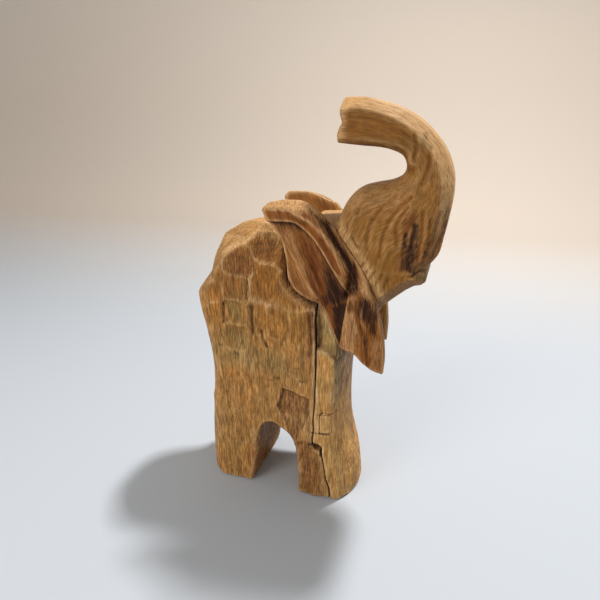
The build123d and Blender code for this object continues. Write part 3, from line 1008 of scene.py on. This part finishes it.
# Painted shadow of the lobe on the tip of the panel.
LOBE_SHADOW_ON_PANEL = [(29, 206), (41, 212), (39, 184), (35, 170), (31, 183)]
PANEL_RED = [(0, 268), (14, 256), (24, 240), (40, 216), (36, 206), (33, 174), (28, 184), (22, 203),
             (13, 214), (8, 238)]
LOBE_DARK = [(54, 223), (62, 216), (67, 204), (66, 187), (60, 188), (56, 203)]
LOBE_TOP = [(41, 218), (60, 218), (56, 200), (51, 203), (41, 207)]
LOBE_PALE = [(40, 206), (48, 205), (51, 192), (48, 168), (35, 170), (38, 190)]
LOBE_RED = [(63, 186), (71, 180), (73, 148), (63, 155)]
RIM_FRONT = [(4, 285), (22, 268), (34, 252), (42, 236), (42, 246), (30, 264), (14, 287)]
RIM_CREST = [(-2, 284), (11, 278), (23, 267), (34, 254), (41, 242), (43, 235)]


class EarZones:
    """The parts of an ear's face, each 0 to 1, and distances to its lines in millimetres."""

    def __init__(self, x, y, z):
        out = np.abs(y)
        self.face = fade(out, EAR_SEAT + 1, EAR_SEAT + 4)
        self.panel = fade(panel_side(x, z), 0.4, -0.9)
        self.lobe = fade(x, 36, 41) * fade(z, 226, 212)
        self.rim = (1 - self.panel) * fade(z, 212, 222)
        self.root = fade(nape_side(x, z), -0.5, 1) * fade(z, 216, 224)
        self.from_crease, _ = from_line(ear_crease(), x, z)
        self.from_rim, _ = from_line(rim_edge(), x, z)
        self.from_edge = from_outline(ear_outline(), x, z)
        self.spread = np.interp(z, [215, 235, 250, 270, 292], [11, 6, 2.5, 1.5, 2.5])
        bevel = 1 - fade(np.abs(ear_top_cut(z, out)), 0.6, 1.8)
        top = fade(self.from_edge, -3.5, -1.0) * fade(z, 262, 282)
        self.lit = np.maximum(bevel, top) * fade(x, 24, 12)


def ear_stain(ear, x, z):
    """Near-black: painted shade in the crease, under the rim and on the panel's tip beside the lobe; dark
    wood spreading from the crease; and heartwood in panel and lobe.
    """
    # Painted shade in the crease.
    crease = 0.84 * near(ear.from_crease, 2.4) * fade(z, 214, 222)
    spread = 0.8 * ear.root * fade(ear.from_crease, ear.spread + 1.5, ear.spread - 2.5)
    panel = patches(x, z, [(0.75, 5, PANEL_DARK), (0.95, 2, LOBE_SHADOW_ON_PANEL), (0.22, 2, PANEL_RED)])
    # Painted shade along the rim's inner edge and under the rim's top.
    panel = panel + 0.5 * near(ear.from_rim, 3.0) + 0.25 * fade(z, 266, 272)
    lobe = patches(x, z, [(0.8, 4.5, LOBE_DARK), (0.35, 3, LOBE_TOP)])
    lobe = lobe + marks(x, z, [(0.6, 1.4, [(57, 185), (60, 155)]),
                               (0.45, 1.1, [(53, 221), (51.5, 204), (53, 192)])])
    rim = 0.3 * filled(x, z, RIM_FRONT)
    return np.maximum(crease, spread) + ear.panel * panel + ear.lobe * lobe + ear.rim * rim


def ear_red(ear, x, z):
    """Reddish wood: the panel, the front of the lobe and the rim."""
    rim = 0.25 + 0.6 * blot(x, z, [(14, 279), (27, 265), (38, 249)], 3.5)
    panel = 0.85 * filled(x, z, PANEL_RED, 3)
    return ear.panel * panel + 0.4 * ear.lobe * filled(x, z, LOBE_RED, 2) + ear.rim * rim * (1 - ear.root)


def ear_golden(ear, x, z):
    """How golden the wood is: the panel beyond its red zone, and the neck side of the crease."""
    panel = 0.1 * ear.panel * (1 - filled(x, z, PANEL_RED, 3))
    return panel + 0.4 * ear.root * fade(ear.from_crease, ear.spread, ear.spread + 2)


def ear_worn(ear, x, z):
    """Pale wood: the rim's crest, its inner and outer edges, the fold and the lobe."""
    crest = 0.7 * blot(x, z, RIM_CREST, 0.9) + 0.5 * near(ear.from_rim - 1.0, 0.9)
    trim = 0.55 * fade(ear.from_edge, -2.2, -0.8) * fade(z, 214, 222)
    fold = 0.5 * blot(x, z, [(-6, 263), (0, 249), (9, 224), (15, 214)], 1.0)
    lobe = patches(x, z, [(0.5, 2, LOBE_PALE), (0.3, 2, LOBE_RED)])
    lobe = lobe + 0.45 * blot(x, z, [(55, 219), (53.5, 203)], 0.9)
    return ear.rim * crest + ear.panel * (trim + fold) + ear.lobe * lobe


def paint_ear(piece, shift):
    """Tones of an ear: painted shade in its crease and under its rim, painted light on its top edge, and
    dark heartwood in its panel and its lobe.
    """
    x, y, z = corners_of(piece)
    x = x - shift
    ear = EarZones(x, y, z)
    golden = ear_golden(ear, x, z)
    unlit = ear.face * (1 - ear.lit)
    slant = across_ear(x, z) + 0.36 * np.minimum(z - EAR_FOLD, 0) * ear.panel
    finish_paint(piece, (slant, y, z), worn=ear.face * (ear_worn(ear, x, z) + golden) + ear.lit,
                 stain=unlit * ear_stain(ear, x, z), red=unlit * ear_red(ear, x, z),
                 olive=0.3 * ear.face * golden)


# ---------------------------------------------------------------- materials
class Wood:
    """A wood material, built a node at a time. Its textures measure in millimetres."""

    def __init__(self, name):
        self.material = bpy.data.materials.new(name)
        self.material.use_nodes = True
        self.tree = self.material.node_tree
        self.shader = self.tree.nodes["Principled BSDF"]

    def feed(self, socket, source):
        """Give a socket another node's output, or a plain value."""
        if isinstance(source, bpy.types.NodeSocket):
            self.tree.links.new(source, socket)
        elif hasattr(source, "__len__") and len(source) == 3 and socket.type == "RGBA":
            socket.default_value = (*source, 1)
        else:
            socket.default_value = source

    def painted(self, name, output="Fac"):
        node = self.tree.nodes.new("ShaderNodeAttribute")
        node.attribute_name = name
        return node.outputs[output]

    def math(self, kind, a, b=0.0):
        node = self.tree.nodes.new("ShaderNodeMath")
        node.operation = kind
        self.feed(node.inputs[0], a)
        self.feed(node.inputs[1], b)
        return node.outputs[0]

    def times(self, a, b):
        return self.math("MULTIPLY", a, b)

    def plus(self, a, b):
        return self.math("ADD", a, b)

    def noise(self, size, seed, detail=2.0, rough=0.55):
        """Noise in the wood's own directions: size is across, into and along the grain."""
        spot = self.tree.nodes.new("ShaderNodeVectorMath")
        spot.operation = "MULTIPLY_ADD"
        self.feed(spot.inputs[0], self.painted("fibre", "Vector"))
        spot.inputs[1].default_value = [1 / s for s in size]
        spot.inputs[2].default_value = (seed * 7.3, seed * 3.1, seed * 5.7)
        node = self.tree.nodes.new("ShaderNodeTexNoise")
        node.inputs["Scale"].default_value = 1.0
        node.inputs["Detail"].default_value = detail
        node.inputs["Roughness"].default_value = rough
        self.feed(node.inputs["Vector"], spot.outputs[0])
        return node.outputs["Fac"]

    def between(self, value, start, end, low=0.0, high=1.0):
        """low where the value is at start, high at end, and smooth between."""
        node = self.tree.nodes.new("ShaderNodeMapRange")
        node.interpolation_type = "SMOOTHSTEP"
        for socket, source in zip(node.inputs, (value, start, end, low, high)):
            self.feed(socket, source)
        return node.outputs[0]

    def mix(self, share, a, b, kind="MIX"):
        node = self.tree.nodes.new("ShaderNodeMix")
        node.data_type = "RGBA"
        node.blend_type = kind
        self.feed(node.inputs["Factor"], share)
        colours = [s for s in node.inputs if s.type == "RGBA"]
        self.feed(colours[0], a)
        self.feed(colours[1], b)
        return next(s for s in node.outputs if s.type == "RGBA")


PALETTE = {
    "dark": (0.185, 0.074, 0.017), "mid": (0.37, 0.172, 0.044), "light": (0.52, 0.292, 0.095),
    "orange": (0.41, 0.160, 0.028), "olive": (0.245, 0.158, 0.056), "red": (0.19, 0.050, 0.011),
    "pale": (0.70, 0.44, 0.215), "stain": (0.034, 0.013, 0.009),
}


class Figure:
    """The noises that make up a wood's figure, from broad to fine."""

    def __init__(self, wood, seed):
        self.broad = wood.noise((26, 26, 60), seed + 1)
        self.streak = wood.noise((4.5, 6, 70), seed + 2, detail=4, rough=0.6)
        self.vein = wood.noise((1.6, 3, 26), seed + 3, detail=5, rough=0.68)
        self.fine = wood.noise((1.15, 1.6, 10), seed + 4, detail=5, rough=0.72)
        self.pore = wood.noise((0.9, 1.2, 6.5), seed + 5, detail=1)
        self.blotch = wood.noise((15, 15, 17), seed + 6, detail=3)
        self.mottle = wood.noise((6, 7, 12), seed + 7, detail=3)


def tinted(tint):
    """The palette in a wood's own tint, which the pale tone takes on only in part."""
    tone = {key: tuple(c * t for c, t in zip(colour, tint)) for key, colour in PALETTE.items()}
    tone["pale"] = tuple(c * (0.75 + 0.25 * t) for c, t in zip(PALETTE["pale"], tint))
    return tone


def figured(wood, figure, tone, streaks, gloss):
    """The wood's own colours: streaks, warm areas, light and dark veins, weathered blotches."""
    streaked = wood.between(figure.streak, 0.40, 0.68, 0, 0.35 + 0.6 * streaks)
    colour = wood.mix(streaked, tone["mid"], tone["dark"])
    colour = wood.mix(wood.between(figure.broad, 0.42, 0.7, 0, 0.8), colour, tone["orange"])
    colour = wood.mix(wood.between(figure.vein, 0.52, 0.72, 0, gloss), colour, tone["light"])
    colour = wood.mix(wood.between(figure.vein, 0.48, 0.33, 0, streaks), colour, tone["dark"])
    return wood.mix(wood.between(figure.blotch, 0.56, 0.74, 0, 0.45), colour, tone["olive"])


def toned(wood, figure, colour, tone, worn):
    """The painted tones laid over a colour, each broken up by the figure."""
    ragged = wood.between(figure.blotch, 0.2, 0.6, 0.5, 1.0)
    colour = wood.mix(wood.times(wood.painted("olive"), ragged), colour, tone["olive"])
    red = wood.times(wood.painted("red"), wood.between(figure.vein, 0.25, 0.6, 1.0, 0.45))
    colour = wood.mix(red, colour, tone["red"])
    rubbed_and_lit = wood.times(wood.painted("worn"), wood.between(figure.fine, 0.32, 0.6, 0.25, 1.0))
    colour = wood.mix(wood.times(rubbed_and_lit, worn), colour, tone["pale"])
    shade = wood.between(wood.painted("sunk"), 0.0, 1.0, 0.0, 0.6)
    colour = wood.mix(shade, colour, tone["dark"])
    fibres = wood.plus(wood.times(figure.vein, 0.5), wood.times(figure.fine, 0.5))
    stained = wood.times(wood.painted("stain"), wood.between(fibres, 0.36, 0.62, 1.3, 0.65))
    return wood.mix(wood.between(stained, 0.05, 0.85, 0, 0.95), colour, tone["stain"])


def flecked(wood, figure, colour, pits, grain):
    """A colour darkened and lightened by flecks, pits and mottling, less so where worn or painted light."""
    flecks = wood.between(figure.fine, 0.36, 0.64, 1 - 0.34 * grain, 1 + 0.30 * grain)
    mottle = wood.between(figure.mottle, 0.32, 0.68, 1 - 0.15 * grain, 1 + 0.13 * grain)
    strength = wood.times(wood.times(flecks, pits), mottle)
    calm = wood.times(wood.math("SUBTRACT", 1.0, strength), wood.times(wood.painted("worn"), 0.85))
    strength = wood.plus(strength, calm)
    grey = wood.tree.nodes.new("ShaderNodeCombineColor")
    for socket in grey.inputs:
        wood.feed(socket, strength)
    return wood.mix(1.0, colour, grey.outputs[0], "MULTIPLY")


def roughened(wood, figure, pits, grain):
    """Small relief along the fibres, and a sheen that varies with it."""
    wood.feed(wood.shader.inputs["Roughness"], wood.between(figure.fine, 0.3, 0.7, 0.62, 0.44))
    wood.shader.inputs["Specular IOR Level"].default_value = 0.15
    height = wood.plus(wood.times(figure.fine, 0.5), wood.times(figure.vein, 0.6))
    height = wood.plus(height, wood.times(pits, 0.35))
    bump = wood.tree.nodes.new("ShaderNodeBump")
    bump.inputs["Strength"].default_value = 0.5 * grain
    bump.inputs["Distance"].default_value = 0.6 * MM
    wood.feed(bump.inputs["Height"], height)
    wood.feed(wood.shader.inputs["Normal"], bump.outputs[0])


def make_wood(name, seed, tint=(1, 1, 1), streaks=0.5, gloss=0.8, worn=0.85, grain=1.0):
    """Oiled, carved hardwood with streaks, pores, weathered blotches and worn ridges, with the painted light
    and shade of the corners laid over it.
    """
    wood = Wood(name)
    figure = Figure(wood, seed)
    tone = tinted(tint)
    pits = wood.between(figure.pore, 0.28, 0.38, 1 - 0.36 * grain, 1.0)
    colour = figured(wood, figure, tone, streaks, gloss)
    colour = toned(wood, figure, colour, tone, worn)
    wood.feed(wood.shader.inputs["Base Color"], flecked(wood, figure, colour, pits, grain))
    roughened(wood, figure, pits, grain)
    return wood.material


def make_dowel_wood():
    """Plain paler hardwood for the hidden dowels, which carry no painted numbers."""
    wood = Wood("dowel_wood")
    noise = wood.tree.nodes.new("ShaderNodeTexNoise")
    noise.inputs["Scale"].default_value = 300
    wood.feed(noise.inputs["Vector"], wood.tree.nodes.new("ShaderNodeTexCoord").outputs["Object"])
    figure = wood.between(noise.outputs["Fac"], 0.35, 0.65)
    wood.feed(wood.shader.inputs["Base Color"], wood.mix(figure, PALETTE["light"], PALETTE["mid"]))
    wood.shader.inputs["Roughness"].default_value = 0.6
    return wood.material


def dress(piece, material):
    """Give a piece its material, in place of any it has."""
    piece.data.materials.clear()
    piece.data.materials.append(material)


rump, chest, patch = build_body()
head = build_head()
right_ear = build_ear("ear_right", RIGHT, 0, "right_ear")
left_ear = build_ear("ear_left", LEFT, LEFT_SHIFT, "left_ear")

for piece in (rump, chest, patch):
    paint_body(piece)
paint_head(head)
paint_ear(right_ear, 0)
paint_ear(left_ear, LEFT_SHIFT)

dress(rump, make_wood("rump_wood", 1, tint=(0.98, 0.99, 0.86), streaks=0.5, grain=1.3))
dress(chest, make_wood("chest_wood", 2, tint=(1.4, 1.54, 1.55), streaks=0.5, grain=1.15))
dress(patch, make_wood("patch_wood", 3, tint=(1.38, 1.52, 1.55), streaks=0.5, grain=1.15))
dress(head, make_wood("head_wood", 4, tint=(0.80, 0.73, 0.49), streaks=0.15, gloss=0.35, grain=0.68))
dress(right_ear, make_wood("right_ear_wood", 5, tint=(0.75, 0.54, 0.29), streaks=0.65))
dress(left_ear, make_wood("left_ear_wood", 6, tint=(0.85, 0.86, 0.85), grain=0.8))

dowel_wood = make_dowel_wood()
for node in ("block_dowels", "neck_dowels", "ear_dowels"):
    dress(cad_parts[node], dowel_wood)


# ---------------------------------------------------------------- stage
CAMERA_PLACE = (0.1217, -0.3726, 0.347)
CAMERA_LENS = 26.94
CAMERA_YAW, CAMERA_PITCH, CAMERA_ROLL = radians(20), radians(21), radians(1.15)


def make_camera():
    """The view: from the elephant's right, looking a little back and down at it."""
    data = bpy.data.cameras.new("camera")
    camera = bpy.data.objects.new("camera", data)
    bpy.context.collection.objects.link(camera)
    data.lens = CAMERA_LENS
    data.clip_start = 0.01
    yaw, pitch, roll = CAMERA_YAW, CAMERA_PITCH, CAMERA_ROLL
    forward = Vector((-sin(yaw) * cos(pitch), cos(yaw) * cos(pitch), -sin(pitch)))
    right = Vector((cos(yaw), sin(yaw), 0))
    up = right.cross(forward)
    tilted_right = right * cos(roll) - up * sin(roll)
    tilted_up = right * sin(roll) + up * cos(roll)
    turn = Matrix((tilted_right, tilted_up, -forward)).transposed()
    camera.matrix_world = Matrix.Translation(CAMERA_PLACE) @ turn.to_4x4()
    bpy.context.scene.camera = camera


def make_backdrop():
    """A plain pale floor that sweeps up into a wall far behind."""
    bend = [(1.2 + 0.5 * sin(a), 0.5 - 0.5 * cos(a)) for a in np.linspace(0, np.pi / 2, 24)]
    profile = [(-2.5, 0.0), *bend, (1.7, 3.0)]
    corners = [(x, y, z) for y, z in profile for x in (-3.0, 3.0)]
    faces = [(i, i + 1, i + 3, i + 2) for i in range(0, len(corners) - 2, 2)]
    mesh = bpy.data.meshes.new("backdrop")
    mesh.from_pydata(corners, [], faces)
    mesh.polygons.foreach_set("use_smooth", np.ones(len(faces), bool))
    backdrop = bpy.data.objects.new("backdrop", mesh)
    bpy.context.collection.objects.link(backdrop)
    paper = Wood("backdrop")
    place = paper.tree.nodes.new("ShaderNodeTexCoord").outputs["Object"]
    split = paper.tree.nodes.new("ShaderNodeSeparateXYZ")
    paper.feed(split.inputs[0], place)
    rising = paper.between(split.outputs["Y"], 0.2, 1.5)
    paper.feed(paper.shader.inputs["Base Color"], paper.mix(rising, (0.52, 0.565, 0.62), (0.90, 0.80, 0.70)))
    paper.shader.inputs["Roughness"].default_value = 0.8
    mesh.materials.append(paper.material)


def make_lights():
    """A key from high behind on the right, a low fill in front on the left, and a pale room."""
    def area(name, place, target, size, power, colour):
        data = bpy.data.lights.new(name, "AREA")
        data.size = size
        data.energy = power
        data.color = colour
        light = bpy.data.objects.new(name, data)
        light.location = place
        light.rotation_euler = (Vector(target) - Vector(place)).to_track_quat("-Z", "Y").to_euler()
        bpy.context.collection.objects.link(light)

    area("key", (0.37, 0.46, 1.5), (0, 0, 0.15), 0.14, 24, (1.0, 0.98, 0.96))
    area("fill", (-0.75, -1.15, 0.55), (0, 0, 0.2), 0.7, 9, (1.0, 0.96, 0.90))
    world = bpy.data.worlds.new("room")
    bpy.context.scene.world = world
    world.use_nodes = True
    back = world.node_tree.nodes["Background"]
    back.inputs["Color"].default_value = (1.0, 0.97, 0.93, 1)
    back.inputs["Strength"].default_value = 0.38


make_camera()
make_backdrop()
make_lights()
bpy.context.scene.view_settings.view_transform = "Standard"
